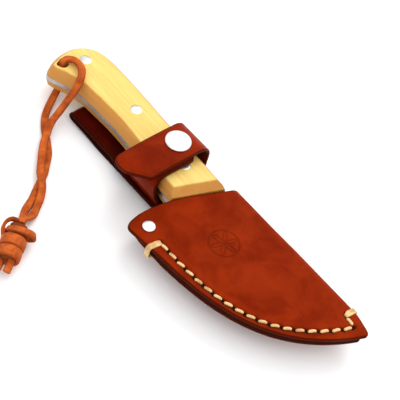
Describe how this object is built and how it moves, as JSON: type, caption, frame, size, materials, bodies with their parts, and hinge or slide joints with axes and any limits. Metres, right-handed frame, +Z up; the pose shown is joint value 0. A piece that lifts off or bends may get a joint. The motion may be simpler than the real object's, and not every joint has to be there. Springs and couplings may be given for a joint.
{
  "type": "sheathed carving knife",
  "caption": "Full-tang wood carving knife with pale wooden scales in a stitched leather pouch sheath with belt loop, snap keeper strap and knotted lace lanyard.",
  "frame": {"origin": "middle of the knife and sheath's own box, on the surface that they rest on, the lanyard left out", "axes": "+X towards the sheath's tip, +Y towards the blade's back and the sheath's folded edge, +Z up from the table; the knife lies level, on the flat back of the belt loop"},
  "size_m": [0.241, 0.1391, 0.0353],
  "materials": {
    "blade_steel": "satin ground",
    "boxwood": "oiled, satin",
    "nickel": "polished nickel plate",
    "pouch_leather": "waxed vegetable-tanned",
    "strap_leather": "waxed vegetable-tanned, darker",
    "thread": "waxed linen",
    "lace_leather": "soft, matte"
  },
  "bodies": {
    "sheath": {"sheath_body": "pouch_leather", "welt": "pouch_leather", "seam_thread": "thread", "corner_rivet_cap": "nickel", "corner_rivet_back": "nickel", "belt_loop": "strap_leather", "loop_thread": "thread", "keeper_strap": "strap_leather", "snap_stud": "nickel", "snap_post": "nickel"},
    "flap": {"keeper_flap": "pouch_leather", "snap_cap": "nickel", "snap_socket": "nickel"},
    "knife": {"blade": "blade_steel", "scale_front": "boxwood", "scale_back": "boxwood", "rivet_posts": "nickel", "rivet_sleeves": "nickel", "lanyard_front_strand": "lace_leather", "lanyard_back_strand": "lace_leather", "lanyard_turn": "lace_leather", "lanyard_knot": "lace_leather", "lanyard_tails": "lace_leather"}
  },
  "joints": [
    {"name": "knife_draw", "type": "slide", "parent": "sheath", "child": "knife", "axis": [-1, 0, 0], "range_m": [0, 0.16]},
    {"name": "strap_flap", "type": "hinge", "parent": "sheath", "child": "flap", "pos_m": [-0.0254, 0.03241, 0.02626], "axis": [-1, 0, 0], "range_deg": [0, 120]}
  ]
}
